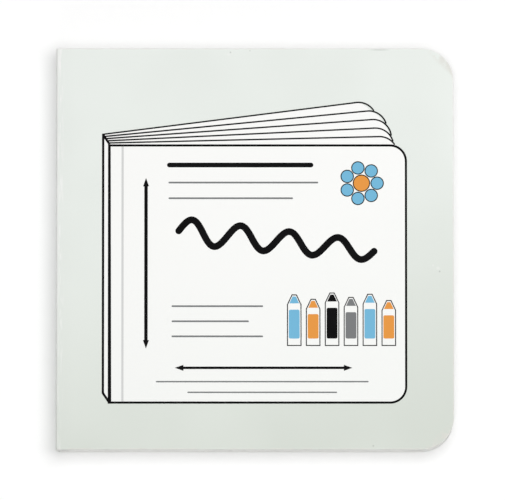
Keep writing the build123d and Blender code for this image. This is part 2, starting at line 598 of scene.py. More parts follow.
def cut_board_material(name, glued_leaves=False):
    """Cut edge of a board: layers of fibre. The inner boards also have glue lines and darker patches on
    the tail edge.
    """
    colours = settings().colours
    material, tree, shader = new_material(name, 0.85)
    place = object_place(tree)
    grain = place_group(tree, paper_grain_group(), place, Tooth_Scale=2400.0, Cloud_Scale=60.0)
    layers = stretched_noise(tree, place, fibre_scales, detail=5.0, roughness=0.65)
    fibres = ramp(tree, layers, start=0.4, end=0.72, high=0.7)
    dusty = ramp(tree, grain["Cloud"], start=0.45, end=0.75, high=0.35)
    shade = larger(tree, fibres, dusty)
    if glued_leaves:
        axes = axes_of(tree, place)
        shade = larger(tree, shade, glue_lines(tree, axes))
    tone = mixed_colour(tree, shade, colours.core, colours.core_shade)
    if glued_leaves:
        streaked = ramp(tree, layers, start=0.42, end=0.6, low=0.08, high=0.42)
        darkened = times(tree, tail_dark_patch_mask(tree, axes), streaked)
        tone = mixed_colour(tree, darkened, tone, colours.dark_mark)
    join(tree, tone, shader.inputs["Base Color"])
    gloss = ramp(tree, grain["Tooth"], start=0.3, end=0.7, low=0.8, high=0.92)
    join(tree, gloss, shader.inputs["Roughness"])
    relief = plus(tree, layers, times(tree, grain["Tooth"], 0.5))
    add_bump(tree, shader, relief, distance=0.06 * MM, strength=0.6)
    return material


def label_material():
    """White label paper, smoother than the page paper. Its rim is out of reach, so it isn't worn."""
    out_of_reach = 1.0
    colours = settings().colours
    material, tree, shader = new_material("label_paper", 0.55)
    place = object_place(tree)
    grain = place_group(tree, paper_grain_group(), place, Tooth_Scale=3600.0, Cloud_Scale=35.0)
    wear_and_shade = place_group(tree, wear_and_painted_shade_group(), place, Rim=out_of_reach, Rim_Width=1.0 * MM)
    clouds = ramp(tree, grain["Cloud"], start=0.35, end=0.75, high=0.06)
    # Painted shade: the label darkens a little towards the tail, as the wrap does
    shaded = plus(tree, times(tree, wear_and_shade["Tone"], 0.3), clouds)
    tone = mixed_colour(tree, shaded, colours.label, colours.wrap)
    join(tree, tone, shader.inputs["Base Color"])
    gloss = ramp(tree, grain["Tooth"], start=0.3, end=0.7, low=0.5, high=0.6)
    join(tree, gloss, shader.inputs["Roughness"])
    add_bump(tree, shader, grain["Tooth"], distance=0.01 * MM, strength=0.3)
    return material


def ink_material(name, ink_colour):
    """Printing ink that lets a little of the paper's tooth through."""
    material, tree, shader = new_material(name, 0.5)
    shader.inputs["Specular IOR Level"].default_value = 0.03
    place = object_place(tree)
    grain = place_group(tree, paper_grain_group(), place, Tooth_Scale=5200.0, Cloud_Scale=180.0)
    pores = ramp(tree, grain["Tooth"], start=0.55, end=0.8, high=0.025)
    thin = times(tree, pores, ramp(tree, grain["Cloud"], start=0.3, end=0.6))
    tone = mixed_colour(tree, thin, ink_colour, settings().colours.label)
    join(tree, tone, shader.inputs["Base Color"])
    gloss = ramp(tree, grain["Cloud"], start=0.3, end=0.7, low=0.42, high=0.56)
    join(tree, gloss, shader.inputs["Roughness"])
    return material


# Sheets and boards

# Distances in from a trimmed edge at which a sheet has points, in millimetres
rim_steps = (0.0, 0.04, 0.1, 0.18, 0.3, 0.5, 0.9, 1.6, 3.0)

# Points of a sheet: across it between its rims, along it, and along its round corners
sheet_columns = 26
sheet_rows = 26
corner_rows = 16

# Points of the inner boards: along a leaf, along half of its fore edge, on a round corner and on a fold
leaf_steps = 22
fore_edge_rows = 14
leaf_corner_rows = 14
fold_steps = 8

# Turns at which the round end of a slot has points
slot_turns = (math.pi / 4, math.pi / 2, 3 * math.pi / 4)

# First seeds of the waves that move the slots between the leaves, and that widen them
slot_seed = 11
gap_seed = 41

# An edge that turns by more than this stays sharp
sharp_turn = math.radians(40)


def smooth(share):
    """A soft step from 0 to 1."""
    share = min(max(share, 0.0), 1.0)
    return share * share * (3 - 2 * share)


def half_height_at(x):
    """Half the height of the trimmed outline at x. It shrinks where the fore corners are round."""
    radius = settings().paper.corner_radius
    past = max(x - (fore_edge - radius), 0.0)
    return half_height - radius + math.sqrt(max(radius**2 - past**2, 0.0))


def fore_edge_at(y):
    """Where the trimmed outline ends towards the fore edge, at a height y from the middle."""
    radius = settings().paper.corner_radius
    past = max(abs(y) - (half_height - radius), 0.0)
    return fore_edge - radius + math.sqrt(max(radius**2 - past**2, 0.0))


def rim_distance(x, y):
    """How far a point lies in from the head, the tail and the fore edge."""
    radius = settings().paper.corner_radius
    past_x = x - (fore_edge - radius)
    past_y = abs(y) - (half_height - radius)
    if past_x > 0 and past_y > 0:
        return max(radius - math.hypot(past_x, past_y), 0.0)
    return max(min(radius - past_x, radius - past_y), 0.0)


def eased_drop(distance, ease):
    """How far a surface bends down over an eased edge, at a distance in from it."""
    if distance >= ease:
        return 0.0
    return ease - math.sqrt(max(ease**2 - (ease - distance) ** 2, 0.0))


def rim_columns(reach):
    """Places across a sheet from tail to head, close together near both ends."""
    ends = [step * MM for step in rim_steps]
    inner = reach - ends[-1]
    spaces = sheet_columns + 1
    columns = [-reach + step for step in ends]
    columns += [-inner + 2 * inner * column / spaces for column in range(1, spaces)]
    columns += [reach - step for step in reversed(ends)]
    return columns


def fore_rows(start):
    """Places along a sheet from near the spine to the fore edge, close together at the round corners."""
    edge_steps = 4
    radius = settings().paper.corner_radius
    straight_end = fore_edge - radius
    turns = [math.pi / 2 * row / corner_rows for row in range(corner_rows)]
    rows = [start + (straight_end - start) * row / sheet_rows for row in range(sheet_rows)]
    rows += [straight_end + radius * math.sin(turn) for turn in turns]
    rows += [fore_edge - step * MM for step in rim_steps[:edge_steps]]
    return sorted(set(rows))


def add_object(name, mesh):
    """A new object in the open scene, shaded smooth apart from its sharp edges."""
    mesh.shade_smooth()
    mesh.set_sharp_from_angle(angle=sharp_turn)
    piece = bpy.data.objects.new(name, mesh)
    bpy.context.scene.collection.objects.link(piece)
    return piece


def mesh_from(name, points, faces):
    """A mesh with its faces all turned outwards."""
    mesh = bpy.data.meshes.new(name)
    mesh.from_pydata(points, [], faces)
    shape = bmesh.new()
    shape.from_mesh(mesh)
    bmesh.ops.recalc_face_normals(shape, faces=shape.faces)
    shape.to_mesh(mesh)
    shape.free()
    return mesh


def store_rest(mesh):
    """Keeps each point's place and rim distance at rest, which its paper's finish reads."""
    places = [vertex.co.copy() for vertex in mesh.vertices]
    rims = [rim_distance(place.x, place.y) for place in places]
    rest = mesh.attributes.new("rest_place", "FLOAT_VECTOR", "POINT")
    rest.data.foreach_set("vector", [value for place in places for value in place])
    rim = mesh.attributes.new("rim", "FLOAT", "POINT")
    rim.data.foreach_set("value", rims)


def sheet_along(name, path, proud, sunk, seat_ease=0.0):
    """A closed sheet of paper that follows a path in XZ.
    The path is a list of (x, z, edge ease, extra depth). The side to the left of the path's direction
    stands proud of it, and the other side is sunk. Where the board under the sheet has a rounder edge,
    given as its seat ease, the sheet reaches down to that."""
    outer, inner = [], []
    for index, (x, z, ease, extra) in enumerate(path):
        before = path[max(index - 1, 0)]
        after = path[min(index + 1, len(path) - 1)]
        along = Vector((after[0] - before[0], 0.0, after[1] - before[1])).normalized()
        outward = Vector((-along.z, 0.0, along.x))
        for y in rim_columns(half_height_at(x)):
            distance = rim_distance(x, y)
            drop = eased_drop(distance, ease)
            seat_gap = max(eased_drop(distance, seat_ease) - drop, 0.0)
            foot = Vector((x, y, z)) - outward * drop
            outer.append(foot + outward * proud)
            inner.append(foot - outward * (sunk + extra + seat_gap))
    width = len(outer) // len(path)
    shift = len(outer)
    faces = []
    for row in range(len(path) - 1):
        for column in range(width - 1):
            corner = row * width + column
            quad = (corner, corner + 1, corner + width + 1, corner + width)
            faces.append(quad)
            faces.append(tuple(shift + place for place in reversed(quad)))
    border = list(range(width))
    border += [row * width + width - 1 for row in range(1, len(path))]
    border += [(len(path) - 1) * width + column for column in range(width - 2, -1, -1)]
    border += [row * width for row in range(len(path) - 2, 0, -1)]
    for index, corner in enumerate(border):
        after = border[(index + 1) % len(border)]
        faces.append((corner, after, shift + after, shift + corner))
    mesh = mesh_from(name, outer + inner, faces)
    store_rest(mesh)
    return add_object(name, mesh)


def both_covers(path):
    """For each cover: its body, the path of its sheet, its hinge's place and the sign of its outward Z.
    The given path is the front cover's. The back cover's is mirrored about the middle of the book."""
    mirrored = [(x, 2 * middle_level - z, ease, extra) for x, z, ease, extra in reversed(path)]
    yield "front_cover", path, hinge_places["front_cover_hinge"], 1
    yield "back_cover", mirrored, hinge_places["back_cover_hinge"], -1


def board_gap(x, z):
    """How far a place past the front fold lies outside the rolled edge of the front cover board."""
    paper = settings().paper
    fold_end = front_axis.z + paper.fold_length / 2
    roll_level = front_high.z - paper.joint_roll
    past_x = front_low.x + paper.joint_roll - x
    if past_x <= 0:
        return 0.0
    if z < roll_level:
        return (front_low.x - x) * smooth((z - fold_end) / (roll_level - fold_end))
    return max(math.hypot(past_x, z - roll_level) - paper.joint_roll, 0.0)


def wrap_path():
    """From the middle of the spine, over the front hinge and the rolled edge, to the fore edge.
    The wrap turns more sharply than the board under it, and is thicker there."""
    spine_rows = 5
    fold_rows = 16
    roll_rows = 9
    paper = settings().paper
    roll = paper.wrap_roll
    joint_x = spine_face + paper.wrap_step
    fold_start = front_axis.z - paper.fold_length / 2
    roll_start = front_high.z - roll
    places = []
    for row in range(spine_rows):
        places.append((spine_face, middle_level + (fold_start - middle_level) * row / spine_rows))
    for row in range(fold_rows):
        z = fold_start + (roll_start - fold_start) * row / fold_rows
        step_in = smooth((z - front_axis.z) / (roll_start - front_axis.z))
        places.append((spine_face + paper.wrap_step * step_in, z))
    for row in range(roll_rows):
        turn = math.pi / 2 * row / roll_rows
        places.append((joint_x + roll * (1 - math.cos(turn)), roll_start + roll * math.sin(turn)))
    places += [(x, front_high.z) for x in fore_rows(joint_x + roll)]
    route = []
    for x, z in places:
        on_cover = smooth((z - roll_start) / roll)
        ease = paper.edge_ease + (paper.wrap_ease - paper.edge_ease) * on_cover
        route.append((x, z, ease, board_gap(x, z)))
    return route


def spread_path():
    """From the fore edge along the inside of the front cover, round the gutter,
    and back along the first page."""
    fold_rows = 10
    paper = settings().paper
    fold_radius = (front_low.z - block_high.z) / 2
    fold_x = front_axis.x + fold_radius
    rows = fore_rows(fold_x)
    path = [(x, front_low.z, paper.edge_ease, 0.0) for x in reversed(rows)]
    for row in range(1, fold_rows):
        turn = math.pi * row / fold_rows
        x = fold_x - fold_radius * math.sin(turn)
        path.append((x, front_axis.z + fold_radius * math.cos(turn), paper.leaf_bevel, 0.0))
    path += [(x, block_high.z, paper.leaf_bevel, 0.0) for x in rows]
    return path


def leaf_thickness():
    """Thickness of one inner board."""
    paper = settings().paper
    board = block_high.z - block_low.z - (paper.leaf_count - 1) * paper.leaf_gap
    return board / paper.leaf_count


def leaf_pitch():
    """Distance from one inner board to the next."""
    return leaf_thickness() + settings().paper.leaf_gap


class Wander:
    """A smooth wander over the boards, made of a few long waves, between -1 and 1."""

    wave_count = 4

    def __init__(self, seed):
        draw = random.Random(seed)
        self.waves = []
        for _ in range(self.wave_count):
            along = draw.uniform(18, 60)
            across = draw.uniform(18, 75)
            phase = draw.uniform(0, math.tau)
            size = draw.uniform(0.4, 1.0)
            self.waves.append((along, across, phase, size))
        self.total = sum(size for _, _, _, size in self.waves)

    def at(self, x, y):
        """The height of the waves at a place."""
        height = 0.0
        for along, across, phase, size in self.waves:
            height += size * math.sin(along * x + across * y + phase)
        return height / self.total


def leaf_levels(slot_waves, x, y, openness):
    """The lower and upper face of every inner board at a place, with slots that wander a little."""
    paper = settings().paper
    pitch = leaf_pitch()
    lower = [block_low.z]
    upper = []
    for slot, (centre_wave, width_wave) in enumerate(slot_waves):
        centre = block_low.z + (slot + 1) * pitch - paper.leaf_gap / 2
        wander = paper.leaf_waviness * openness
        centre += paper.leaf_gap / 3 * wander * centre_wave.at(x, y)
        half_gap = paper.leaf_gap / 2 * (1 + wander * width_wave.at(x, y))
        upper.append(centre - half_gap)
        lower.append(centre + half_gap)
    upper.append(block_high.z)
    return lower, upper


def spine_folds(inset):
    """The scalloped back of the inner boards, from top to bottom, as (x, z)."""
    paper = settings().paper
    pitch = leaf_pitch()
    radius = ((pitch / 2) ** 2 + paper.fold_bulge**2) / (2 * paper.fold_bulge)
    centre_x = block_low.x + radius
    rows = fold_steps * paper.leaf_count
    outline = []
    for row in range(rows + 1):
        z = block_high.z + (block_low.z - block_high.z) * row / rows
        from_fold = (z - block_low.z + paper.leaf_gap / 2) % pitch
        off_fold = min(from_fold, pitch - from_fold)
        x = centre_x - math.sqrt(max(radius**2 - off_fold**2, 0.0))
        outline.append((x + inset, min(max(z, block_low.z + inset), block_high.z - inset)))
    return outline


def comb_slice(slot_waves, y, inset):
    """The outline of the inner boards at one y, as points in XZ, drawn in by an inset."""
    paper = settings().paper
    bevel = paper.leaf_bevel
    slot_x = block_low.x + paper.fold_wall + paper.leaf_gap / 2
    end_x = fore_edge_at(y) - inset
    reach = end_x - bevel - slot_x
    columns = [slot_x + reach * step / leaf_steps for step in range(leaf_steps + 1)]
    opening = [smooth(2 * step / leaf_steps) for step in range(leaf_steps + 1)]
    levels = [leaf_levels(slot_waves, x, y, openness) for x, openness in zip(columns, opening)]
    outline = []
    for leaf in range(paper.leaf_count):
        below = [(x, low[leaf] + inset) for x, (low, _) in zip(columns, levels)]
        above = [(x, high[leaf] - inset) for x, (_, high) in zip(columns, levels)]
        nose = max(bevel - inset, 0.0)
        tip = [(end_x, below[-1][1] + nose), (end_x, above[-1][1] - nose)]
        outline += below + tip + above[::-1]
        if leaf < paper.leaf_count - 1:
            half_gap = paper.leaf_gap / 2 + inset
            slot_low, slot_high = levels[0][1][leaf], levels[0][0][leaf + 1]
            centre = (slot_low + slot_high) / 2
            for turn in slot_turns:
                outline.append((slot_x - half_gap * math.sin(turn), centre - half_gap * math.cos(turn)))
    return outline + spine_folds(inset)


def comb_cap(start, size):
    """Faces that close one end of the comb: strips along each leaf, and one face at the folds."""
    leaf_count = settings().paper.leaf_count
    leaf_points = 2 * (leaf_steps + 1) + 2
    slot_points = len(slot_turns)
    faces, gutter = [], []
    for leaf in range(leaf_count):
        first = start + leaf * (leaf_points + slot_points)
        last = first + leaf_points - 1
        for step in range(leaf_steps):
            faces.append((first + step, first + step + 1, last - step - 1, last - step))
        faces.append(tuple(first + leaf_steps + place for place in range(4)))
        gutter += [first, last]
        if leaf < leaf_count - 1:
            gutter += [last + 1 + place for place in range(slot_points)]
    folds_start = start + leaf_count * leaf_points + (leaf_count - 1) * slot_points
    gutter += list(range(folds_start, start + size))
    faces.append(tuple(gutter))
    return faces


def inner_boards_mesh():
    """The inner boards as one closed comb of leaves, joined by folds at the gutter."""
    paper = settings().paper
    slots = range(paper.leaf_count - 1)
    slot_waves = [(Wander(slot_seed + slot), Wander(gap_seed + slot)) for slot in slots]
    radius = paper.corner_radius
    straight = half_height - radius
    turns = [math.pi / 2 * row / leaf_corner_rows for row in range(leaf_corner_rows)]
    upper = [straight * row / fore_edge_rows for row in range(1, fore_edge_rows)]
    upper += [straight + radius * math.sin(turn) for turn in turns]
    upper = [y for y in upper if y < half_height - paper.leaf_bevel]
    upper += [half_height - paper.leaf_bevel, half_height]
    places = [-y for y in reversed(upper)] + [0.0] + upper
    points, faces = [], []
    for y in places:
        inset = paper.leaf_bevel if abs(y) == half_height else 0.0
        points += [(x, y, z) for x, z in comb_slice(slot_waves, y, inset)]
    size = len(points) // len(places)
    last_start = (len(places) - 1) * size
    for here in range(0, last_start, size):
        there = here + size
        for corner in range(size):
            after = (corner + 1) % size
            faces.append((here + corner, here + after, there + after, there + corner))
    faces += comb_cap(0, size) + comb_cap(last_start, size)
    return mesh_from("inner_boards", points, faces)


# Print

# Points on a round corner, a round panel corner, a fanned leaf's corner, a round end and a circle
corner_steps = 6
panel_corner_steps = 12
fan_corner_steps = 60
round_end_steps = 8
circle_steps = 28

# Ruled lines: left end, right end and height on the panel, and thickness, in millimetres
bold_rule = (19.0, 64.0, 76.0, 1.5)
grey_rules = (
    (19.0, 66.0, 70.4, 0.55),
    (19.0, 58.0, 65.4, 0.55),
    (20.0, 48.5, 31.0, 0.55),
    (20.0, 44.0, 26.2, 0.55),
    (20.0, 48.5, 21.4, 0.55),
    (15.0, 82.0, 7.0, 0.45),
    (25.0, 72.0, 3.6, 0.45),
)

# Double arrows: both tips on the panel, thickness, and the heads' length and half width, in millimetres
upright_arrow = ((11.6, 17.5), (11.6, 71.9), 1.1)
level_arrow = ((20.8, 11.4), (77.1, 11.4), 0.8)
arrow_head = (2.7, 0.95)

# Wavy stroke: both ends on the panel, half width and swing in millimetres, number of waves, the share of
# its swing that is lost along it, and the points along it and on a round end
stroke_start = (22.0, 55.0)
stroke_end = (84.0, 48.5)
stroke_half_width = 1.1
stroke_swing = 4.0
stroke_waves = 4
stroke_fade = 0.25
stroke_steps = 120
stroke_end_steps = 10

# Flower: middle on the panel, petals, their ring and radius, and the disc's radius, in millimetres, and
# the points round the disc
flower_middle = (80.0, 70.2)
petal_count = 7
petal_ring = 5.0
petal_radius = 1.98
disc_radius = 2.6
disc_steps = 32

# Row of crayons: left side of the first, pitch, width, foot and heights, in millimetres
crayon_left = 56.5
crayon_pitch = 6.0
crayon_width = 4.3
crayon_foot = 18.5
crayon_heights = (13.0, 11.6, 13.6, 12.2, 13.2, 11.2)

# A crayon's tip, the colour in the tip, and the band on its body. Half widths are shares of the crayon's
# width, and the other sizes are in millimetres
tip_height = 3.1
tip_half = 0.16
point_low = 0.4
point_high = 2.6
point_low_half = 0.36
point_high_half = 0.12
band_foot_gap = 2.2
band_head_gap = 1.6
band_half = 0.4
band_corner = 0.5


class Print:
    """Flat shapes of one ink, collected into one mesh. They stand a hair above the label, and their
    undersides lie in its paper. Where two shapes of one ink cross, the later one takes a higher layer."""

    layer_step = 0.001 * MM

    def __init__(self):
        self.points = []
        self.faces = []
        self.low = label_high.z - settings().label.ink_depth / 3
        self.high = label_high.z + settings().label.ink_depth

    def fill(self, outline, layer=0):
        """A filled shape inside an outline."""
        first, count = len(self.points), len(outline)
        top = self.high + layer * self.layer_step
        self.points += [(x, y, top) for x, y in outline]
        self.points += [(x, y, self.low) for x, y in outline]
        self.faces.append(tuple(range(first, first + count)))
        self.faces.append(tuple(range(first + 2 * count - 1, first + count - 1, -1)))
        for corner in range(count):
            here = first + corner
            after = first + (corner + 1) % count
            self.faces.append((here, after, after + count, here + count))

    def line(self, points, width, closed=False, layer=0):
        """A line of even width along points."""
        count = len(points)
        first = len(self.points)
        top = self.high + layer * self.layer_step
        for index, (x, y) in enumerate(points):
            before = points[index - 1] if closed or index else points[0]
            after = points[(index + 1) % count] if closed or index < count - 1 else points[-1]
            side_x, side_y = mitre(before, (x, y), after)
            for side in (width / 2, -width / 2):
                self.points.append((x + side_x * side, y + side_y * side, top))
                self.points.append((x + side_x * side, y + side_y * side, self.low))
        for index in range(count if closed else count - 1):
            here = first + 4 * index
            there = first + 4 * ((index + 1) % count)
            self.faces.append((here, there, there + 2, here + 2))
            self.faces.append((here + 1, here + 3, there + 3, there + 1))
            self.faces.append((here, here + 1, there + 1, there))
            self.faces.append((here + 2, there + 2, there + 3, here + 3))
        if not closed:
            last = first + 4 * (count - 1)
            self.faces.append((first, first + 2, first + 3, first + 1))
            self.faces.append((last, last + 1, last + 3, last + 2))

    def make(self, name, material):
        """The finished piece, riding on the front cover."""
        piece = add_object(name, mesh_from(name, self.points, self.faces))
        piece.data.materials.append(material)
        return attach(piece, "front_cover")


def mitre(before, here, after):
    """The sideways direction of a line at a point, lengthened so that its edges stay parallel.
    At a sharp turn it is held short, so that the corner is blunt."""
    least_cosine = 0.62
    into = Vector((here[0] - before[0], here[1] - before[1]))
    out = Vector((after[0] - here[0], after[1] - here[1]))
    if into.length == 0:
        into = out
    if out.length == 0:
        out = into
    into.normalize()
    out.normalize()
    along = (into + out).normalized()
    stretch = 1 / max(along.dot(into), least_cosine)
    return -along.y * stretch, along.x * stretch


def arc(centre, radius, start, end, steps):
    """Points on an arc. Angles are in degrees."""
    turns = [math.radians(start + (end - start) * step / steps) for step in range(steps + 1)]
    return [
        (centre[0] + radius * math.cos(turn), centre[1] + radius * math.sin(turn)) for turn in turns
    ]


def circle(centre, radius, steps=circle_steps):
    """Points on a circle."""
    return arc(centre, radius, 0, 360, steps)[:-1]


def rounded_rectangle(low, high, radius):
    """The outline of a rectangle with four round corners."""
    (left, bottom), (right, top) = low, high
    outline = arc((right - radius, bottom + radius), radius, -90, 0, corner_steps)
    outline += arc((right - radius, top - radius), radius, 0, 90, corner_steps)
    outline += arc((left + radius, top - radius), radius, 90, 180, corner_steps)
    outline += arc((left + radius, bottom + radius), radius, 180, 270, corner_steps)
    return outline


def label_panel():
    """Left, bottom, right and top of the figure's front panel."""
    sizes = settings().label
    left = label_low.x + sizes.band_width
    return left, label_low.y, label_high.x, label_low.y + sizes.panel_height


def panel_place(x, y):
    """A place on the front panel, from millimetres right of and above its lower left corner."""
    left, bottom, _, _ = label_panel()
    return left + x * MM, bottom + y * MM


def panel_outline(inset):
    """The front panel from its lower left to its upper left corner, drawn in by an inset.
    Its two right corners are round."""
    left, bottom, right, top = label_panel()
    radius = settings().label.panel_corner
    bottom_corner = (right - radius, bottom + radius)
    top_corner = (right - radius, top - radius)
    outline = [(left, bottom + inset)]
    outline += arc(bottom_corner, radius - inset, -90, 0, panel_corner_steps)
    outline += arc(top_corner, radius - inset, 0, 90, panel_corner_steps)
    return outline + [(left, top - inset)]


class FanLeaf:
    """The top edge and round corner of one leaf of the figure. Leaf 0 is the front panel itself."""

    def __init__(self, leaf):
        sizes = settings().label
        left, _, right, top = label_panel()
        share = leaf / len(sizes.fan_setbacks)
        setback = sizes.fan_setbacks[leaf - 1] if leaf else 0.0
        self.start = Vector((left - share * sizes.band_width, top + share * sizes.band_skew))
        corner = Vector((right - setback, top + leaf * sizes.fan_rise))
        self.radius = sizes.fan_corner if leaf else sizes.panel_corner
        self.along = (corner - self.start).normalized()
        self.upward = Vector((-self.along.y, self.along.x))
        self.rise = math.degrees(math.atan2(self.along.y, self.along.x))
        half_turn = math.radians(90 - self.rise) / 2
        self.tangent = corner - self.along * self.radius * math.tan(half_turn)
        self.centre = self.tangent - self.upward * self.radius

    def covers(self, point):
        """True for a point that lies behind this leaf."""
        from_tangent = point - self.tangent
        if from_tangent.dot(self.along) <= 0:
            return from_tangent.dot(self.upward) < 0
        if point.y < self.centre.y:
            return point.x < self.centre.x + self.radius
        return (point - self.centre).length < self.radius

    def line(self, inset, leaf_below):
        """The leaf's edge from the back band to where it goes behind the leaf below."""
        points = [tuple(self.start - self.upward * inset)]
        corner = arc(self.centre, self.radius - inset, 90 + self.rise, 0, fan_corner_steps)
        for x, y in corner:
            if leaf_below.covers(Vector((x, y))):
                break
            points.append((x, y))
        return points


def print_figure(black, pale):
    """The plain outline of a closed book with its leaves fanned a little."""
    sizes = settings().label
    left, bottom, _, top = label_panel()
    half = sizes.heavy_line / 2
    leaves = [FanLeaf(leaf) for leaf in range(len(sizes.fan_setbacks) + 1)]
    for leaf in range(1, len(leaves)):
        edge = leaves[leaf].line(sizes.fine_line / 2, leaves[leaf - 1])
        black.line(edge, sizes.fine_line, layer=leaf)
    layer = len(leaves)
    black.line(panel_outline(half), sizes.heavy_line, layer=layer)

    outer = left - sizes.band_width + sizes.side_line / 2
    band_top = top + sizes.band_skew
    side = [(left, bottom + half), (outer, bottom + sizes.band_skew), (outer, band_top)]
    black.line(side, sizes.side_line, layer=layer + 1)
    slant = [(outer, band_top - sizes.side_line / 2), (left, top)]
    black.line(slant, sizes.side_line, layer=layer + 2)
    bar_left = left - (sizes.band_line + sizes.band_line_foot) / 4
    bar = [(bar_left, top), (bar_left, bottom)]
    bar += [(bar_left + sizes.band_line_foot, bottom), (bar_left + sizes.band_line, top)]
    black.fill(bar, layer=layer + 3)

    crease = left + sizes.crease_inset
    pale.line([(crease, bottom + 2 * half), (crease, top - 2 * half)], sizes.heavy_line)


def print_arrow(ink, start, end, width):
    """A line with an arrow head at each end, between two places on the panel."""
    first, last = Vector(panel_place(*start)), Vector(panel_place(*end))
    along = (last - first).normalized()
    across = Vector((-along.y, along.x))
    head_length, head_half = (size * MM for size in arrow_head)
    ink.line([tuple(first + along * head_length), tuple(last - along * head_length)], width * MM)
    for tip, inward in ((first, along), (last, -along)):
        foot = tip + inward * head_length
        ink.fill([tuple(tip), tuple(foot + across * head_half), tuple(foot - across * head_half)])


def print_rule(ink, left, right, height, width):
    """A ruled line with round ends."""
    half = width * MM / 2
    right_end = arc(panel_place(right, height), half, -90, 90, round_end_steps)
    left_end = arc(panel_place(left, height), half, 90, 270, round_end_steps)
    ink.fill(right_end + left_end)


def print_wave(ink):
    """A bold wavy crayon stroke that runs down to the right, with round ends."""
    start, end = Vector(panel_place(*stroke_start)), Vector(panel_place(*stroke_end))
    across = Vector((start.y - end.y, end.x - start.x)).normalized()
    half_width = stroke_half_width * MM
    middle = []
    for step in range(stroke_steps + 1):
        share = step / stroke_steps
        swing = stroke_swing * MM * math.sin(share * stroke_waves * math.tau) * (1 - stroke_fade * share)
        middle.append(start + (end - start) * share + across * swing)
    upper, lower = [], []
    for index, place in enumerate(middle):
        before, after = middle[max(index - 1, 0)], middle[min(index + 1, stroke_steps)]
        side = Vector(mitre(before, place, after)) * half_width
        upper.append(tuple(place + side))
        lower.append(tuple(place - side))
    first_turn = math.degrees(math.atan2(*(middle[1] - middle[0]).yx))
    last_turn = math.degrees(math.atan2(*(middle[-1] - middle[-2]).yx))
    first_end = arc(middle[0], half_width, first_turn + 90, first_turn + 270, stroke_end_steps)
    last_end = arc(middle[-1], half_width, last_turn - 90, last_turn + 90, stroke_end_steps)
    ink.fill(first_end[1:-1] + lower + last_end[1:-1] + upper[::-1])


def print_flower(petal_ink, centre_ink, line_ink):
    """A simple flower: round petals about a disc."""
    line = settings().label.motif_line
    middle = panel_place(*flower_middle)
    petal, disc = petal_radius * MM, disc_radius * MM
    for petal_middle in circle(middle, petal_ring * MM, petal_count):
        petal_ink.fill(circle(petal_middle, petal - line / 2))
        line_ink.line(circle(petal_middle, petal), line, closed=True)
    centre_ink.fill(circle(middle, disc - line / 2, disc_steps))
    line_ink.line(circle(middle, disc, disc_steps), line, closed=True)


def print_crayon(ink, line_ink, left, height):
    """An upright crayon with a blunt tip and a band on its body.
    Its left side and its height are in millimetres."""
    right = left + crayon_width
    middle = left + crayon_width / 2
    shoulder = crayon_foot + height

    def across(half_share, level):
        """Two corners, right and left of the middle, at one level."""
        half = half_share * crayon_width
        return [panel_place(middle + half, level), panel_place(middle - half, level)]

    band_high, _ = across(band_half, shoulder - band_head_gap)
    _, band_low = across(band_half, crayon_foot + band_foot_gap)
    ink.fill(rounded_rectangle(band_low, band_high, band_corner * MM))
    point = across(point_high_half, shoulder + point_high)
    point += reversed(across(point_low_half, shoulder + point_low))
    ink.fill(point)
    outline = [panel_place(left, crayon_foot), panel_place(right, crayon_foot)]
    outline += [panel_place(right, shoulder)]
    outline += across(tip_half, shoulder + tip_height)
    outline += [panel_place(left, shoulder)]
    line_ink.line(outline, settings().label.motif_line, closed=True)


def print_motifs(black, grey, blue, orange):
    """Plain drawing-book motifs on the panel: arrows, rules, a flower, a wavy stroke and crayons."""
    print_arrow(black, *upright_arrow)
    print_arrow(black, *level_arrow)
    print_rule(black, *bold_rule)
    for rule in grey_rules:
        print_rule(grey, *rule)
    print_flower(blue, orange, black)
    print_wave(black)
    crayon_inks = (blue, orange, black, grey, blue, orange)
    for place, (ink, height) in enumerate(zip(crayon_inks, crayon_heights)):
        print_crayon(ink, black, crayon_left + place * crayon_pitch, height)


# Stage

# The photograph's width in pixels, and the sensor width in millimetres that spans it
picture_width = 505
sensor_width = 36.0

# How far the camera sees, and the places and sizes of the lamps and the floor, in metres
view_end = 10.0
key_lamp_place = (0.085, 0.035, 0.7)
key_lamp_size = 0.4
front_lamp_place = (-0.1, -1.0, 0.35)
front_lamp_size = 0.5
floor_reach = 2.0

# The floor's own white, and its depth below the boards as a share of the wrap's thickness
floor_white = 0.92
floor_clearance = 1.2


def sees_backdrop(tree):
    """1 for rays from the camera or off gloss and glass, which should see a white backdrop."""
    path = add_node(tree, "ShaderNodeLightPath")
    seen = larger(tree, path.outputs["Is Camera Ray"], path.outputs["Is Glossy Ray"])
    return larger(tree, seen, path.outputs["Is Transmission Ray"])


def floor_material():
    """White floor that keeps the book's shadow and runs out to plain white."""
    stage = settings().stage
    material = bpy.data.materials.new("floor")
    material.use_nodes = True
    tree = material.node_tree
    tree.nodes.remove(tree.nodes["Principled BSDF"])
    matt = add_node(tree, "ShaderNodeBsdfDiffuse", Color=(floor_white, floor_white, floor_white, 1.0))
    glow = add_node(tree, "ShaderNodeEmission")
    away = vector_node(tree, "LENGTH", object_place(tree))
    growth = math_node(tree, "POWER", math_node(tree, "DIVIDE", away, stage.glow_reach), 2.0)
    strength = math_node(tree, "MINIMUM", plus(tree, growth, stage.floor_glow), 1.0)
    join(tree, times(tree, sees_backdrop(tree), strength), glow.inputs["Strength"])
    both = add_node(tree, "ShaderNodeAddShader")
    join(tree, matt.outputs["BSDF"], both.inputs[0])
    join(tree, glow.outputs["Emission"], both.inputs[1])
    join(tree, both.outputs["Shader"], tree.nodes["Material Output"].inputs["Surface"])
    return material


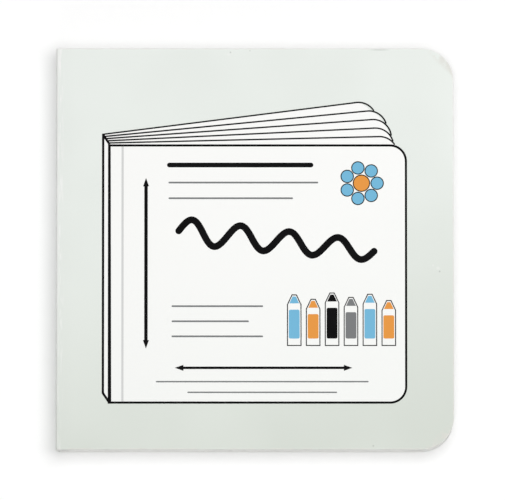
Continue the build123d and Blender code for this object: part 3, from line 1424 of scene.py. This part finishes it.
def make_floor():
    """A flat floor just under the wrap of the back cover."""
    mesh = bpy.data.meshes.new("floor")
    level = -floor_clearance * settings().paper.wrap_proud
    signs = ((-1, -1), (1, -1), (1, 1), (-1, 1))
    corners = [(x * floor_reach, y * floor_reach, level) for x, y in signs]
    mesh.from_pydata(corners, [], [(0, 1, 2, 3)])
    floor = bpy.data.objects.new("floor", mesh)
    floor.data.materials.append(floor_material())
    bpy.context.scene.collection.objects.link(floor)


def make_world():
    """Even fill light, with plain white where the camera sees past the floor."""
    world = bpy.data.worlds.new("studio")
    world.use_nodes = True
    tree = world.node_tree
    background = tree.nodes["Background"]
    background.inputs["Color"].default_value = (1.0, 1.0, 1.0, 1.0)
    fill = settings().stage.fill_light
    seen = times(tree, sees_backdrop(tree), 1.0 - fill)
    join(tree, plus(tree, seen, fill), background.inputs["Strength"])
    bpy.context.scene.world = world


def make_lamp(name, place, size, light):
    """A square soft lamp that points at the middle of the book. Light is its share of the light there."""
    aim = Vector((0.0, 0.0, front_high.z))
    throw = aim - Vector(place)
    facing = -throw.z / throw.length
    lamp = bpy.data.lights.new(name, "AREA")
    lamp.shape = "SQUARE"
    lamp.size = size
    lamp.energy = light * math.pi**2 * throw.length_squared / facing
    holder = bpy.data.objects.new(name, lamp)
    holder.location = place
    holder.rotation_euler = throw.to_track_quat("-Z", "Y").to_euler()
    holder.visible_camera = False
    bpy.context.scene.collection.objects.link(holder)


def make_camera():
    """A long lens that looks down on the front cover, leaning a little towards the tail."""
    stage = settings().stage
    seen_width = picture_width / stage.pixel_scale * MM
    camera = bpy.data.cameras.new("camera")
    camera.sensor_width = sensor_width
    camera.lens = sensor_width * stage.camera_distance / seen_width
    camera.clip_end = view_end
    holder = bpy.data.objects.new("camera", camera)
    aim = Vector((stage.aim_x, stage.aim_y, front_high.z))
    lean = stage.camera_tilt
    holder.location = aim + stage.camera_distance * Vector((0.0, -math.sin(lean), math.cos(lean)))
    holder.rotation_euler = (lean, 0.0, 0.0)
    bpy.context.scene.collection.objects.link(holder)
    bpy.context.scene.camera = holder


# Operators and panel


class BOARDBOOK_OT_boards(bpy.types.Operator):
    """Finish the stiff boards of the covers and the spine as cut board"""

    bl_idname = "board_book.boards"
    bl_label = "Cover Boards"

    def execute(self, context):
        material = cut_board_material("cover_core")
        for node in ("front_cover", "back_cover", "spine_strip"):
            frame["nodes"][node].material_slots[0].material = material
        return {"FINISHED"}


class BOARDBOOK_OT_wrap(bpy.types.Operator):
    """Lay the outer paper over the covers and the spine, with a soft fold at each hinge"""

    bl_idname = "board_book.wrap"
    bl_label = "Cover Wrap"

    def execute(self, context):
        paper = settings().paper
        material = wrap_material()
        for body, path, axis, side in both_covers(wrap_path()):
            piece = sheet_along(
                body + "_wrap", path, paper.wrap_proud, paper.glue_depth, seat_ease=paper.edge_ease
            )
            piece.data.materials.append(material)
            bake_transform(piece)
        return {"FINISHED"}


class BOARDBOOK_OT_spreads(bpy.types.Operator):
    """Lay a folded sheet between each cover and the first and last page"""

    bl_idname = "board_book.spreads"
    bl_label = "End Spreads"

    def execute(self, context):
        paper = settings().paper
        material = page_material()
        for body, path, axis, side in both_covers(spread_path()):
            piece = sheet_along(body + "_spread", path, paper.spread_proud, paper.glue_depth / 2)
            piece.data.materials.append(material)
            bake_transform(piece)
        return {"FINISHED"}


class BOARDBOOK_OT_inner_boards(bpy.types.Operator):
    """Make the inner boards as one folded comb whose leaves lie a little unevenly"""

    bl_idname = "board_book.inner_boards"
    bl_label = "Inner Boards"

    def execute(self, context):
        piece = add_object("inner_boards", inner_boards_mesh())
        piece.data.materials.append(cut_board_material("leaf_core", glued_leaves=True))
        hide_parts("page_block")
        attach(piece, "pages")
        return {"FINISHED"}


class BOARDBOOK_OT_label(bpy.types.Operator):
    """Finish the label's paper and print the book figure and the motifs on it"""

    bl_idname = "board_book.label"
    bl_label = "Label"

    def execute(self, context):
        frame["nodes"]["front_label"].material_slots[0].material = label_material()
        prints = {name: Print() for name in ("black", "grey", "pale", "blue", "orange")}
        print_figure(prints["black"], prints["pale"])
        print_motifs(prints["black"], prints["grey"], prints["blue"], prints["orange"])
        for name, shapes in prints.items():
            ink = name + "_ink"
            material = ink_material(ink, getattr(settings().colours, ink))
            shapes.make("label_" + name + "_print", material)
        return {"FINISHED"}


class BOARDBOOK_OT_stage(bpy.types.Operator):
    """Set the floor, the light and the camera"""

    bl_idname = "board_book.stage"
    bl_label = "Stage"

    def execute(self, context):
        stage = settings().stage
        make_floor()
        make_world()
        make_lamp("key_lamp", key_lamp_place, key_lamp_size, stage.key_light)
        make_lamp("front_lamp", front_lamp_place, front_lamp_size, stage.front_light)
        make_camera()
        context.scene.view_settings.view_transform = "Standard"
        return {"FINISHED"}


class BOARDBOOK_PT_panel(bpy.types.Panel):
    """Lists the book's settings and the steps that make it"""

    bl_label = "Board Book"
    bl_idname = "BOARDBOOK_PT_panel"
    bl_space_type = "VIEW_3D"
    bl_region_type = "UI"
    bl_category = "Board Book"

    def draw(self, context):
        book = context.scene.board_book
        for group in (book.paper, book.label, book.colours, book.stage):
            box = self.layout.box()
            for name in group.__annotations__:
                box.prop(group, name)
        for operator in operators:
            self.layout.operator(operator.bl_idname)


groups = (PaperSizes, LabelSizes, BookColours, StageSizes, BoardBookSettings)
operators = (
    BOARDBOOK_OT_boards,
    BOARDBOOK_OT_wrap,
    BOARDBOOK_OT_spreads,
    BOARDBOOK_OT_inner_boards,
    BOARDBOOK_OT_label,
    BOARDBOOK_OT_stage,
)


def register():
    for item in (*groups, *operators, BOARDBOOK_PT_panel):
        bpy.utils.register_class(item)
    bpy.types.Scene.board_book = PointerProperty(type=BoardBookSettings)


def unregister():
    del bpy.types.Scene.board_book
    for item in reversed((*groups, *operators, BOARDBOOK_PT_panel)):
        bpy.utils.unregister_class(item)


def main():
    """Registers the add-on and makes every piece."""
    register()
    bpy.ops.board_book.boards()
    bpy.ops.board_book.wrap()
    bpy.ops.board_book.spreads()
    bpy.ops.board_book.inner_boards()
    bpy.ops.board_book.label()
    bpy.ops.board_book.stage()


if __name__ == "__main__":
    main()
